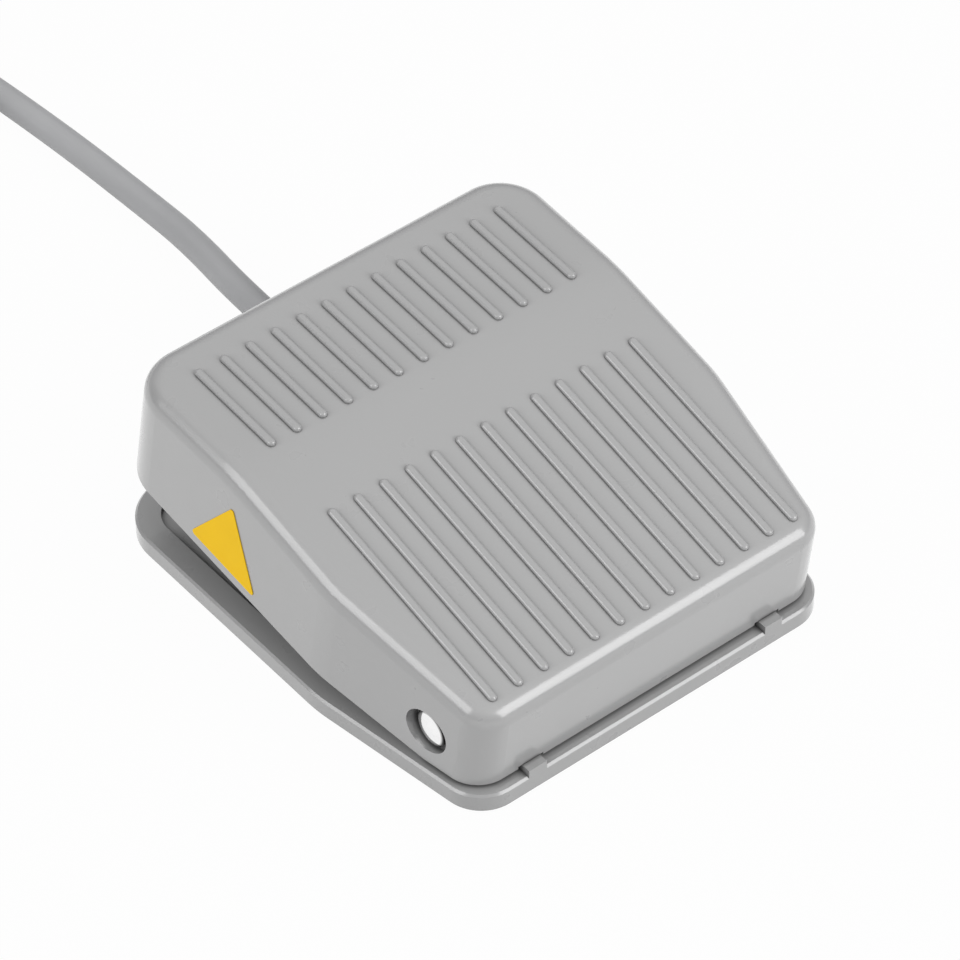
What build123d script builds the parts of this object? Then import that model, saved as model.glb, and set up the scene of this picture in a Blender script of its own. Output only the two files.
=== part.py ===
from build123d import *
import math
import os

os.makedirs("parts", exist_ok=True)

# The foot switch stands on z = 0. X runs across it, the low front end points to -Y,
# and the cord leaves the high rear end towards +Y. Every length is in millimetres.
# The pedal is drawn in its rest position, raised at the rear.

# Base plate
base_length = 95.0
base_width = 88.0
base_front_width = 77.0
base_shoulder = 36.5
base_rear_radius = 11.0
base_front_radius = 7.5
base_shoulder_radius = 30.0
base_thickness = 3.5
base_bevel = 0.4
rim_width = 4.5
floor_recess = 1.0

# Rubber feet
foot_proud = 0.5
foot_radius = 6.0
foot_pocket = 1.4
foot_clearance = 0.05
foot_from_side = 10.0
foot_from_rear = 12.5
foot_from_front = 12.0

# Holes that screw the base down
fixing_radius = 2.25
fixing_spacing_x = 44.0
fixing_spacing_y = 46.0
fixing_from_rear = 37.5

# Pivot
pin_from_front = 13.0
pin_height = 12.1
pin_radius = 3.5
pin_clearance = 0.05
pin_end_dome = 0.9
pin_end_recess = 0.3
ear_radius = 6.5
ear_thickness = 4.2
boss_radius = 7.0
boss_length = 2.65
boss_gap = 0.4
recess_radius = 4.4
recess_depth = 2.0
clip_radius = 5.4
clip_thickness = 0.8
clip_groove_depth = 0.8
clip_clearance = 0.05

# Pedal cover
rest_angle = 8.0
skirt_inset = 1.0
skirt_gap = 0.9
wall = 2.4
wall_draft = 1.3
top_edge_radius = 3.6
inner_edge_radius = 1.6
crease_from_rear = 34.4
crease_height = 37.0
rear_slope = 3.8
front_slope = 13.6
crease_blend_radius = 45.0

# Grip ribs on the pedal
rib_count = 13
rib_pitch = 5.45
rib_width = 1.6
rib_height = 0.8
rib_edge_radius = 0.6
rib_root = 0.5
rear_rib_start = 0.8
rear_rib_length = 21.5
front_rib_start = 14.6
front_rib_length = 44.5

# Stop tabs at the front, which hold the raised pedal
tab_spacing = 52.0
tab_width = 3.8
tab_depth = 3.6
tab_height = 1.4
tab_play = 0.1
notch_side_play = 0.8

# Return spring
spring_from_rear = 29.5
spring_radius = 5.5
spring_wire = 1.3
spring_turns = 6
spring_cup_wall = 1.5
spring_cup_height = 3.0
spring_play = 0.3
spring_pad_drop = 3.8
spring_pad_radius = 7.5
spring_post_radius = 4.2
spring_post_length = 7.0

# Snap switch
switch_length = 27.8
switch_height = 15.9
switch_thickness = 10.3
switch_behind_pin = 6.5
switch_bottom = 4.8
switch_wall = 1.4
switch_cover_thickness = 1.3
switch_hole_radius = 1.55
switch_hole_boss = 2.6
switch_hole_inset = 2.8
bracket_thickness = 3.5
bracket_top_step = 7.0
bracket_foot_length = 7.0

# Lever and push button of the switch
lever_from_front = 2.2
lever_pin_above = 1.3
lever_pin_radius = 0.6
lever_eye_radius = 1.2
lever_thickness = 0.5
lever_width = 4.4
lever_angle = 11.7
lever_length = 26.5
lever_ear_thickness = 1.0
button_from_front = 8.0
button_radius = 1.4
button_flange_radius = 1.9
button_flange_height = 1.0
button_dome_radius = 2.25
button_travel = 1.1
button_play = 0.05
nose_radius = 2.0
nose_play = 0.15
nose_behind_pin = 31.0
nose_width = 7.0

# Contacts
blade_pivot_from_front = 22.0
blade_pivot_height = 9.6
blade_angle = 3.0
blade_thickness = 0.4
blade_width = 4.0
blade_length = 18.0
contact_radius = 1.0
contact_height = 0.6
contact_from_front = 4.6
contact_gap = 0.12
terminal_thickness = 0.8
terminal_width = 4.0
terminal_tail = 5.0
terminal_lug = 1.4
terminal_lap = 1.2
no_lug_from_front = 12.2
slot_play = 0.05

# Fasteners
screw_radius = 1.48
screw_hole_radius = 1.55
screw_head_radius = 2.8
screw_head_height = 2.0
screw_slot_width = 0.8
screw_slot_depth = 1.0
nut_across_flats = 5.5
nut_thickness = 2.4
screw_past_nut = 0.8

# Cord and where it comes in
cord_radius = 2.75
cord_play = 0.05
outlet_x = 3.5
outlet_height = 9.0
outlet_wall = 3.5
outlet_wall_from_rear = 5.0
outlet_half_width = 7.5
outlet_hole_radius = 4.0
outlet_notch_play = 1.0
relief_neck_play = 0.05
relief_flange_radius = 4.9
relief_flange_thickness = 1.8
relief_root_radius = 4.5
relief_tip_radius = 3.4
relief_length = 14.5
jacket_end_from_rear = 16.0
clamp_from_rear = 12.5
clamp_depth = 6.0
clamp_half_width = 10.0
clamp_block_top = 7.6
clamp_strap_depth = 5.0
clamp_strap_thickness = 1.2
clamp_screw_spacing = 14.0
clamp_screw_length = 5.0

# Inner leads
lead_radius = 0.65
lead_pitch_radius = 1.6
lead_splay_gap = 0.5
lead_joint_gap = 0.25

# Put-away cord
coil_x = -30.0
coil_y = 178.0
coil_turn_radius = 30.0
coil_layers = 2
coil_play = 0.3
tie_angle = 200.0
tie_width = 3.0
tie_thickness = 1.0
tie_sunk = 0.1
tie_head = 4.0
end_start_angle = 20.0
end_sweep = 70.0
stripped_sweep = 55.0
stripped_lead_radius = 0.9
stripped_lead_pitch = 1.9

# Levels and places worked out from the sizes above
base_front = -base_length / 2
base_rear = base_length / 2
base_top = foot_proud + base_thickness
floor_top = base_top - floor_recess
pin_y = base_front + pin_from_front
foot_x = base_width / 2 - foot_from_side
foot_rear_y = base_rear - foot_from_rear
foot_front_x = base_front_width / 2 - foot_from_side
foot_front_y = base_front + foot_from_front
fixing_centre_y = base_rear - fixing_from_rear
spring_y = base_rear - spring_from_rear
outlet_wall_y = base_rear - outlet_wall_from_rear
clamp_y = base_rear - clamp_from_rear
jacket_end_y = base_rear - jacket_end_from_rear
nose_y = pin_y + nose_behind_pin
half_width_at_pin = (base_front_width + (base_width - base_front_width) * pin_from_front / base_shoulder) / 2
wall_outer_x = half_width_at_pin - skirt_inset
ear_outer_x = wall_outer_x - wall - boss_length - boss_gap
ear_inner_x = ear_outer_x - ear_thickness
spring_pad_height = crease_height - spring_pad_drop
crease_y = base_rear - crease_from_rear
switch_front_y = pin_y + switch_behind_pin
switch_rear_y = switch_front_y + switch_length
switch_top = switch_bottom + switch_height
switch_side = switch_thickness / 2
switch_case_side = switch_side - switch_cover_thickness

rest_sine = math.sin(math.radians(rest_angle))
rest_cosine = math.cos(math.radians(rest_angle))
pin_axis = Axis((0, pin_y, pin_height), (1, 0, 0))

# The pedal's own plane goes through the pin and is level when the pedal is pressed down.
# A second plane through the pin is seen from the side: it holds the pedal's long section.
pedal_plane = Plane(origin=(0, pin_y, pin_height), x_dir=(1, 0, 0), z_dir=(0, -rest_sine, rest_cosine))
pedal_side = Plane(origin=(0, pin_y, pin_height), x_dir=(0, rest_cosine, rest_sine), z_dir=(1, 0, 0))


def in_pedal(y, z):
    """Place of a point of the rest position along and above the pedal's own plane."""
    along = (y - pin_y) * rest_cosine + (z - pin_height) * rest_sine
    above = (z - pin_height) * rest_cosine - (y - pin_y) * rest_sine
    return along, above


def base_outline(inset=0.0):
    """Plan of the base, drawn in evenly by an inset."""
    half_rear = base_width / 2
    half_front = base_front_width / 2
    shoulder_y = base_front + base_shoulder
    with BuildSketch() as outline:
        with BuildLine():
            Polyline(
                (half_rear, base_rear),
                (-half_rear, base_rear),
                (-half_rear, shoulder_y),
                (-half_front, base_front),
                (half_front, base_front),
                (half_rear, shoulder_y),
                close=True,
            )
        make_face()
        fillet(outline.vertices().group_by(Axis.Y)[1], radius=base_shoulder_radius)
        fillet(outline.vertices().group_by(Axis.Y)[-1], radius=base_rear_radius)
        fillet(outline.vertices().group_by(Axis.Y)[0], radius=base_front_radius)
        if inset:
            offset(amount=-inset, mode=Mode.REPLACE)
    return outline.sketch


# Places of the switch parts, measured from its front end and its bottom
def switch_y(from_front):
    return switch_front_y + from_front


def switch_z(above_bottom):
    return switch_bottom + above_bottom


switch_holes = [
    (switch_y(switch_hole_inset), switch_z(switch_hole_inset)),
    (switch_y(switch_length - switch_hole_inset), switch_z(switch_height - switch_hole_inset)),
]
outlet_top_plane = Plane((outlet_x, clamp_y, clamp_block_top))

# Base plate: cast plate with pivot ears, spring cup, switch wall, clamp block and outlet wall
with BuildPart() as base_plate:
    with BuildSketch(Plane.XY.offset(foot_proud)):
        add(base_outline())
    extrude(amount=base_thickness)
    chamfer(base_plate.faces().sort_by(Axis.Z)[-1].outer_wire().edges(), length=base_bevel)
    with BuildSketch(Plane.XY.offset(floor_top)):
        add(base_outline(rim_width))
    extrude(amount=floor_recess, mode=Mode.SUBTRACT)
    # Pivot ears
    for side in (-1, 1):
        with BuildSketch(Plane.YZ.offset(side * ear_outer_x)):
            with Locations((pin_y, pin_height)):
                Circle(ear_radius)
            with Locations((pin_y, floor_top)):
                Rectangle(2 * ear_radius, pin_height - floor_top, align=(Align.CENTER, Align.MIN))
        extrude(amount=-side * ear_thickness)
    # Cup that the return spring stands in
    with BuildSketch(Plane((0, spring_y, floor_top))):
        spring_cup_radius = spring_radius + spring_wire / 2 + spring_play
        Circle(spring_cup_radius + spring_cup_wall)
        Circle(spring_cup_radius, mode=Mode.SUBTRACT)
    extrude(amount=spring_cup_height)
    # Upright wall that carries the switch, with a sloping rear edge
    with BuildSketch(Plane.YZ.offset(-switch_side)) as switch_wall_side:
        with BuildLine():
            Polyline(
                (switch_front_y, floor_top),
                (switch_front_y, switch_top - switch_wall),
                (switch_front_y + bracket_top_step, switch_top),
                (switch_rear_y, switch_top),
                (switch_rear_y + bracket_foot_length, floor_top),
                close=True,
            )
        make_face()
    extrude(amount=-bracket_thickness)
    # Clamp block with a saddle for the cord
    with BuildSketch(Plane((outlet_x, clamp_y, floor_top))):
        RectangleRounded(2 * clamp_half_width, clamp_depth, screw_radius)
    extrude(amount=clamp_block_top - floor_top)
    with BuildSketch(Plane.XZ.offset(-clamp_y)):
        with Locations((outlet_x, outlet_height)):
            Circle(cord_radius + cord_play)
    extrude(amount=clamp_depth, both=True, mode=Mode.SUBTRACT)
    with Locations(outlet_top_plane):
        with GridLocations(clamp_screw_spacing, 0, 2, 1):
            Hole(screw_hole_radius, depth=clamp_screw_length)
    # Outlet wall with the hole for the strain relief
    with BuildSketch(Plane.XZ.offset(-outlet_wall_y)):
        with Locations((outlet_x, outlet_height)):
            Circle(outlet_half_width)
        with Locations((outlet_x, floor_top)):
            Rectangle(2 * outlet_half_width, outlet_height - floor_top, align=(Align.CENTER, Align.MIN))
        with Locations((outlet_x, outlet_height)):
            Circle(outlet_hole_radius, mode=Mode.SUBTRACT)
    extrude(amount=-outlet_wall)
    # Stop tabs, flush with the front of the plate
    with BuildSketch(Plane((0, base_front, base_top))):
        with GridLocations(tab_spacing, 0, 2, 1):
            Rectangle(tab_width, tab_depth, align=(Align.CENTER, Align.MIN))
    extrude(amount=tab_height)
    with BuildSketch(Plane((0, base_front, base_top))):
        with GridLocations(tab_spacing, 0, 2, 1):
            Rectangle(tab_width, 2 * base_bevel, align=(Align.CENTER, Align.MIN))
    extrude(amount=-base_bevel)
    # Bore through both ears, holes for the switch screws, fixing holes and foot pockets
    with BuildSketch(Plane.YZ):
        with Locations((pin_y, pin_height)):
            Circle(pin_radius + pin_clearance)
    extrude(amount=base_width / 2, both=True, mode=Mode.SUBTRACT)
    with BuildSketch(Plane.YZ.offset(-switch_side)):
        with Locations(*switch_holes):
            Circle(screw_hole_radius)
    extrude(amount=-bracket_thickness, mode=Mode.SUBTRACT)
    with BuildSketch(Plane((0, fixing_centre_y, base_top))):
        with GridLocations(fixing_spacing_x, fixing_spacing_y, 2, 2):
            Circle(fixing_radius)
    extrude(amount=-2 * base_thickness, mode=Mode.SUBTRACT)
    with BuildSketch(Plane.XY.offset(foot_proud)):
        with Locations((foot_x, foot_rear_y), (-foot_x, foot_rear_y)):
            Circle(foot_radius + foot_clearance)
        with Locations((foot_front_x, foot_front_y), (-foot_front_x, foot_front_y)):
            Circle(foot_radius + foot_clearance)
    extrude(amount=foot_pocket, mode=Mode.SUBTRACT)
base_plate.part.label = "base_plate"

# Rubber feet, pressed into the pockets under the base
with BuildPart() as rubber_feet:
    with BuildSketch(Plane.XY):
        with Locations((foot_x, foot_rear_y), (-foot_x, foot_rear_y)):
            Circle(foot_radius)
        with Locations((foot_front_x, foot_front_y), (-foot_front_x, foot_front_y)):
            Circle(foot_radius)
    extrude(amount=foot_proud + foot_pocket)
    chamfer(rubber_feet.edges().group_by(Axis.Z)[0], length=foot_proud / 2)
rubber_feet.part.label = "rubber_feet"


# Pedal cover
def cover_block(inset, drop, edge_radius):
    """Closed body of the pedal cover, drawn in by an inset, with its roof lowered by a drop."""
    level = foot_proud + base_thickness + skirt_gap - pin_height
    centre = pedal_plane.from_local_coords((0, -pin_y, level))
    skirt_plane = Plane(origin=centre, x_dir=(1, 0, 0), z_dir=pedal_plane.z_dir)
    crease_along, crease_above = in_pedal(crease_y, crease_height)
    rear_reach = base_length
    front_reach = -pin_from_front - wall
    rear_fall = math.tan(math.radians(rest_angle - rear_slope))
    front_fall = math.tan(math.radians(front_slope - rest_angle))
    roof = crease_above - drop
    with BuildPart() as block:
        with BuildSketch(skirt_plane):
            add(base_outline(inset))
        extrude(amount=crease_height, taper=wall_draft)
        with BuildSketch(pedal_side) as section:
            with BuildLine():
                Polyline(
                    (front_reach, level),
                    (front_reach, roof - (crease_along - front_reach) * front_fall),
                    (crease_along, roof),
                    (rear_reach, roof - (rear_reach - crease_along) * rear_fall),
                    (rear_reach, level),
                    close=True,
                )
            make_face()
            fillet(section.vertices().sort_by_distance((crease_along, roof))[0], radius=crease_blend_radius)
        extrude(amount=base_width, both=True, mode=Mode.INTERSECT)
        roof_faces = block.faces().filter_by(lambda face: face.normal_at().dot(pedal_plane.z_dir) > 0.9)
        roof_edges = roof_faces.edges()
        rim = [edge for edge in roof_edges if sum(edge.is_same(other) for other in roof_edges) == 1]
        fillet(rim, radius=edge_radius)
    return block.part


def rib_row(plane, start, length):
    """One row of round-edged ribs, running away from the crease on a plane of the roof."""
    with BuildPart() as row:
        with BuildSketch(plane.offset(-rib_root)):
            with Locations((0, start + length / 2)):
                with GridLocations(rib_pitch, 0, rib_count, 1):
                    SlotOverall(length, rib_width, rotation=90)
        extrude(amount=rib_root + rib_height)
        crowns = row.faces().sort_by(Axis(plane.origin, plane.z_dir))[-rib_count:]
        fillet(crowns.edges(), radius=rib_edge_radius)
    return row.part


def roof_plane(slope, x_dir):
    """Plane of one half of the roof at rest, with its origin in the middle of the crease."""
    angle = math.radians(slope)
    return Plane(
        origin=(0, crease_y, crease_height),
        x_dir=x_dir,
        z_dir=(0, -math.sin(angle), math.cos(angle)),
    )


lever_hinge_y = switch_y(lever_from_front)
lever_hinge_z = switch_top + lever_pin_above
lever_sine = math.sin(math.radians(lever_angle))
lever_cosine = math.cos(math.radians(lever_angle))
nose_above_lever = nose_radius + lever_thickness + nose_play
nose_z = lever_hinge_z + (nose_above_lever + (nose_y - lever_hinge_y) * lever_sine) / lever_cosine

# What stands inside the cover: pivot bosses, seat and post of the spring, and the pusher nose
with BuildPart() as cover_inside:
    for side in (-1, 1):
        with BuildSketch(Plane.YZ.offset(side * (ear_outer_x + boss_gap))):
            with Locations((pin_y, pin_height)):
                Circle(boss_radius)
        extrude(amount=side * base_width / 2)
    with BuildSketch(Plane((0, spring_y, spring_pad_height))):
        Circle(spring_pad_radius)
    extrude(amount=crease_height)
    with BuildSketch(Plane((0, spring_y, spring_pad_height))):
        Circle(spring_post_radius)
    extrude(amount=-spring_post_length)
    with BuildSketch(Plane.YZ):
        with Locations((nose_y, nose_z)):
            Circle(nose_radius)
            Rectangle(2 * nose_radius, crease_height, align=(Align.CENTER, Align.MIN))
    extrude(amount=nose_width / 2, both=True)
    add(cover_block(skirt_inset, 0, top_edge_radius), mode=Mode.INTERSECT)

with BuildPart() as pedal_cover:
    add(cover_block(skirt_inset, 0, top_edge_radius))
    add(cover_block(skirt_inset + wall, wall, inner_edge_radius), mode=Mode.SUBTRACT)
    add(rib_row(roof_plane(rear_slope, (1, 0, 0)), rear_rib_start, rear_rib_length))
    add(rib_row(roof_plane(front_slope, (-1, 0, 0)), front_rib_start, front_rib_length))
    # In front of the pin the skirt is cut level at rest, and notched over the stop tabs
    with BuildSketch(Plane.XY.offset(base_top + skirt_gap)):
        Rectangle(2 * base_width, 2 * base_length)
    extrude(amount=-pin_height, mode=Mode.SUBTRACT)
    with BuildSketch(Plane((0, base_front, base_top))):
        with GridLocations(tab_spacing, 0, 2, 1):
            Rectangle(
                tab_width + 2 * notch_side_play,
                2 * (skirt_inset + wall),
                align=(Align.CENTER, Align.MIN),
            )
    extrude(amount=tab_height + tab_play, mode=Mode.SUBTRACT)
    add(cover_inside.part)
    # Arch in the rear skirt that clears the outlet wall when the pedal goes down
    arch_centre = pedal_plane.from_local_coords((outlet_x, base_rear - pin_y, outlet_height - pin_height))
    with BuildSketch(Plane(origin=arch_centre, x_dir=(1, 0, 0), z_dir=pedal_plane.y_dir)):
        arch_radius = outlet_half_width + outlet_notch_play
        Circle(arch_radius)
        Rectangle(2 * arch_radius, 2 * arch_radius, align=(Align.CENTER, Align.MIN))
    extrude(amount=-pin_from_front, mode=Mode.SUBTRACT)
    # Bore for the pin, and the round recess around each of its ends
    with BuildSketch(Plane.YZ):
        with Locations((pin_y, pin_height)):
            Circle(pin_radius + pin_clearance)
    extrude(amount=base_width / 2, both=True, mode=Mode.SUBTRACT)
    for side in (-1, 1):
        with BuildSketch(Plane.YZ.offset(side * (wall_outer_x - recess_depth))):
            with Locations((pin_y, pin_height)):
                Circle(recess_radius)
        extrude(amount=side * 3 * recess_depth, mode=Mode.SUBTRACT)
pedal_cover.part.label = "pedal_cover"

# Pivot pin with low-domed ends and a groove for each clip
pin_end_x = wall_outer_x - pin_end_recess
dome_radius = (pin_radius**2 + pin_end_dome**2) / (2 * pin_end_dome)
dome_middle_x = pin_end_x - dome_radius + math.sqrt(dome_radius**2 - (pin_radius / 2) ** 2)
groove_radius = pin_radius - clip_groove_depth
groove_x = ear_inner_x - clip_clearance - clip_thickness / 2
with BuildPart() as pivot_pin:
    with BuildSketch(Plane((0, pin_y, pin_height))):
        with BuildLine():
            Line((-pin_end_x, 0), (pin_end_x, 0))
            ThreePointArc(
                (pin_end_x, 0), (dome_middle_x, pin_radius / 2), (pin_end_x - pin_end_dome, pin_radius)
            )
            Line((pin_end_x - pin_end_dome, pin_radius), (pin_end_dome - pin_end_x, pin_radius))
            ThreePointArc(
                (pin_end_dome - pin_end_x, pin_radius), (-dome_middle_x, pin_radius / 2), (-pin_end_x, 0)
            )
        make_face()
        with Locations((-groove_x, groove_radius), (groove_x, groove_radius)):
            Rectangle(
                clip_thickness + 2 * clip_clearance,
                pin_radius,
                align=(Align.CENTER, Align.MIN),
                mode=Mode.SUBTRACT,
            )
    revolve(axis=pin_axis)
pivot_pin.part.label = "pivot_pin"

# Retaining clips, open at the bottom
with BuildPart() as pin_clips:
    for side in (-1, 1):
        with BuildSketch(Plane.YZ.offset(side * (ear_inner_x - clip_clearance))):
            with Locations((pin_y, pin_height)):
                Circle(clip_radius)
                Circle(groove_radius + clip_clearance, mode=Mode.SUBTRACT)
                Rectangle(
                    2 * groove_radius - clip_groove_depth,
                    2 * clip_radius,
                    align=(Align.CENTER, Align.MAX),
                    mode=Mode.SUBTRACT,
                )
        extrude(amount=-side * clip_thickness)
pin_clips.part.label = "pin_clips"

# Return spring between the cup of the base and the seat under the roof
with BuildPart() as return_spring:
    spring_height = spring_pad_height - floor_top - spring_wire - 2 * pin_clearance
    spring_foot = floor_top + spring_wire / 2 + pin_clearance
    with BuildLine() as spring_line:
        Helix(
            pitch=spring_height / spring_turns,
            height=spring_height,
            radius=spring_radius,
            center=(0, spring_y, spring_foot),
        )
    with BuildSketch(Plane(origin=spring_line.line @ 0, z_dir=spring_line.line % 0)):
        Circle(spring_wire / 2)
    sweep(is_frenet=True)
return_spring.part.label = "return_spring"

# Snap switch. Its terminals pass through slots in the case.
blade_sine = math.sin(math.radians(blade_angle))
blade_cosine = math.cos(math.radians(blade_angle))
blade_arm = blade_pivot_from_front - contact_from_front
blade_half = blade_thickness / 2 + contact_height
closed_contact_z = switch_z(blade_pivot_height + blade_arm * blade_sine + blade_half + contact_gap)
blade_drop = button_travel * blade_arm / (blade_pivot_from_front - button_from_front)
open_contact_z = closed_contact_z - 2 * (blade_half + contact_gap) - blade_drop
nc_strip_bottom = closed_contact_z + contact_height
no_strip_top = open_contact_z - contact_height
common_strip_top = switch_z(blade_pivot_height) - blade_thickness / 2 - 2 * contact_gap
no_lug_y = switch_y(no_lug_from_front)


def terminal_side(shapes):
    """Solid of a terminal from side-view rectangles: low and high corners in Y and Z."""
    with BuildPart() as strip:
        with BuildSketch(Plane.YZ):
            for (y_low, z_low), (y_high, z_high) in shapes:
                with Locations((y_low, z_low)):
                    Rectangle(y_high - y_low, z_high - z_low, align=(Align.MIN, Align.MIN))
        extrude(amount=terminal_width / 2, both=True)
    return strip.part


nc_shapes = [
    (
        (switch_front_y - terminal_tail, nc_strip_bottom),
        (switch_y(contact_from_front + terminal_lap), nc_strip_bottom + terminal_thickness),
    )
]
no_shapes = [
    (
        (switch_y(contact_from_front - terminal_lap), no_strip_top - terminal_thickness),
        (no_lug_y + terminal_thickness, no_strip_top),
    ),
    ((no_lug_y, switch_bottom - terminal_lug), (no_lug_y + terminal_thickness, no_strip_top)),
]
common_shapes = [
    (
        (switch_y(blade_pivot_from_front - terminal_lap), common_strip_top - terminal_thickness),
        (switch_rear_y + terminal_tail, common_strip_top),
    )
]


def slot_for(shapes):
    """The same strip with a little play all round, to cut its slot in the case."""
    with BuildPart() as room:
        with BuildSketch(Plane.YZ):
            for (y_low, z_low), (y_high, z_high) in shapes:
                with Locations((y_low - slot_play, z_low - slot_play)):
                    Rectangle(
                        y_high - y_low + 2 * slot_play,
                        z_high - z_low + 2 * slot_play,
                        align=(Align.MIN, Align.MIN),
                    )
        extrude(amount=terminal_width / 2 + slot_play, both=True)
    return room.part


def switch_side_block():
    """Side view of the whole switch case."""
    with BuildSketch() as block:
        with Locations((switch_front_y, switch_bottom)):
            Rectangle(switch_length, switch_height, align=(Align.MIN, Align.MIN))
    return block.sketch


with BuildPart() as switch_case:
    with BuildSketch(Plane.YZ.offset(-switch_side)):
        add(switch_side_block())
    extrude(amount=switch_thickness - switch_cover_thickness)
    with BuildSketch(Plane.YZ.offset(-switch_side + switch_wall)):
        with Locations((switch_y(switch_wall), switch_z(switch_wall))):
            Rectangle(
                switch_length - 2 * switch_wall,
                switch_height - 2 * switch_wall,
                align=(Align.MIN, Align.MIN),
            )
        with Locations(*switch_holes):
            Circle(switch_hole_boss, mode=Mode.SUBTRACT)
    extrude(amount=switch_thickness, mode=Mode.SUBTRACT)
    # Ears for the lever pin
    for side in (-1, 1):
        with BuildSketch(Plane.YZ.offset(side * (lever_width / 2 + slot_play))):
            with Locations((lever_hinge_y, lever_hinge_z)):
                Circle(lever_eye_radius)
            with Locations((lever_hinge_y, switch_top)):
                Rectangle(2 * lever_eye_radius, lever_pin_above, align=(Align.CENTER, Align.MIN))
            with Locations((lever_hinge_y, lever_hinge_z)):
                Circle(lever_pin_radius + slot_play, mode=Mode.SUBTRACT)
        extrude(amount=side * lever_ear_thickness)
    with BuildSketch(Plane((0, switch_y(button_from_front), switch_top))):
        Circle(button_radius + button_play)
    extrude(amount=-2 * switch_wall, mode=Mode.SUBTRACT)
    with BuildSketch(Plane.YZ):
        with Locations(*switch_holes):
            Circle(switch_hole_radius)
    extrude(amount=switch_thickness, both=True, mode=Mode.SUBTRACT)
    for shapes in (nc_shapes, no_shapes, common_shapes):
        add(slot_for(shapes), mode=Mode.SUBTRACT)
switch_case.part.label = "switch_case"

with BuildPart() as switch_cover:
    with BuildSketch(Plane.YZ.offset(switch_case_side)):
        add(switch_side_block())
        with Locations(*switch_holes):
            Circle(switch_hole_radius, mode=Mode.SUBTRACT)
    extrude(amount=switch_cover_thickness)
switch_cover.part.label = "switch_cover"

# Push button: stem, stop flange under the case top, and a domed head that carries the lever
button_y = switch_y(button_from_front)
lever_over_button = lever_hinge_z + (button_y - lever_hinge_y) * lever_sine / lever_cosine
button_dome_z = lever_over_button - (button_dome_radius + button_play) / lever_cosine
button_shoulder_z = button_dome_z + math.sqrt(button_dome_radius**2 - button_radius**2)
button_foot_z = (
    switch_z(blade_pivot_height)
    + ((blade_pivot_from_front - button_from_front) * blade_sine + blade_thickness / 2) / blade_cosine
    + button_radius * blade_sine
    + button_play
)
flange_top_z = switch_top - switch_wall - button_play
with BuildPart() as push_button:
    with BuildSketch(Plane.XZ.offset(-button_y)):
        with BuildLine():
            Polyline(
                (0, button_dome_z + button_dome_radius),
                (0, button_foot_z),
                (button_radius, button_foot_z),
                (button_radius, flange_top_z - button_flange_height),
                (button_flange_radius, flange_top_z - button_flange_height),
                (button_flange_radius, flange_top_z),
                (button_radius, flange_top_z),
                (button_radius, button_shoulder_z),
            )
            dome_rise = math.sqrt(button_dome_radius**2 - (button_radius / 2) ** 2)
            ThreePointArc(
                (button_radius, button_shoulder_z),
                (button_radius / 2, button_dome_z + dome_rise),
                (0, button_dome_z + button_dome_radius),
            )
        make_face()
    revolve(axis=Axis((0, button_y, 0), (0, 0, 1)))
push_button.part.label = "push_button"

# Hinge lever with a rolled eye
lever_plane = Plane(
    origin=(0, lever_hinge_y, lever_hinge_z), x_dir=(0, lever_cosine, lever_sine), z_dir=(1, 0, 0)
)
with BuildPart() as switch_lever:
    with BuildSketch(lever_plane):
        Circle(lever_eye_radius)
        Rectangle(lever_length, lever_thickness, align=(Align.MIN, Align.MIN))
        Circle(lever_pin_radius + slot_play, mode=Mode.SUBTRACT)
    extrude(amount=lever_width / 2, both=True)
switch_lever.part.label = "switch_lever"

with BuildPart() as lever_pin:
    with BuildSketch(Plane.YZ):
        with Locations((lever_hinge_y, lever_hinge_z)):
            Circle(lever_pin_radius)
    extrude(amount=lever_width / 2 + slot_play + lever_ear_thickness, both=True)
lever_pin.part.label = "lever_pin"

# Moving contact blade, which lies on the common terminal and reaches between the two contacts
blade_plane = Plane(
    origin=(0, switch_y(blade_pivot_from_front), switch_z(blade_pivot_height)),
    x_dir=(0, -blade_cosine, blade_sine),
    z_dir=(-1, 0, 0),
)
with BuildPart() as contact_blade:
    with BuildSketch(blade_plane):
        Rectangle(blade_length + 2 * blade_thickness, blade_thickness, align=(Align.MIN, Align.CENTER))
    extrude(amount=blade_width / 2, both=True)
    contact_centre = blade_plane.from_local_coords((blade_arm / blade_cosine, 0, 0))
    with BuildSketch(Plane(origin=contact_centre, x_dir=(1, 0, 0), z_dir=blade_plane.y_dir)):
        Circle(contact_radius)
    extrude(amount=blade_half, both=True)
contact_blade.part.label = "contact_blade"

contact_y = switch_y(contact_from_front)
with BuildPart() as nc_terminal:
    add(terminal_side(nc_shapes))
    with BuildSketch(Plane((0, contact_y, nc_strip_bottom))):
        Circle(contact_radius)
    extrude(amount=-contact_height)
nc_terminal.part.label = "nc_terminal"

with BuildPart() as no_terminal:
    add(terminal_side(no_shapes))
    with BuildSketch(Plane((0, contact_y, no_strip_top))):
        Circle(contact_radius)
    extrude(amount=contact_height)
no_terminal.part.label = "no_terminal"

with BuildPart() as common_terminal:
    add(terminal_side(common_shapes))
common_terminal.part.label = "common_terminal"

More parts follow.
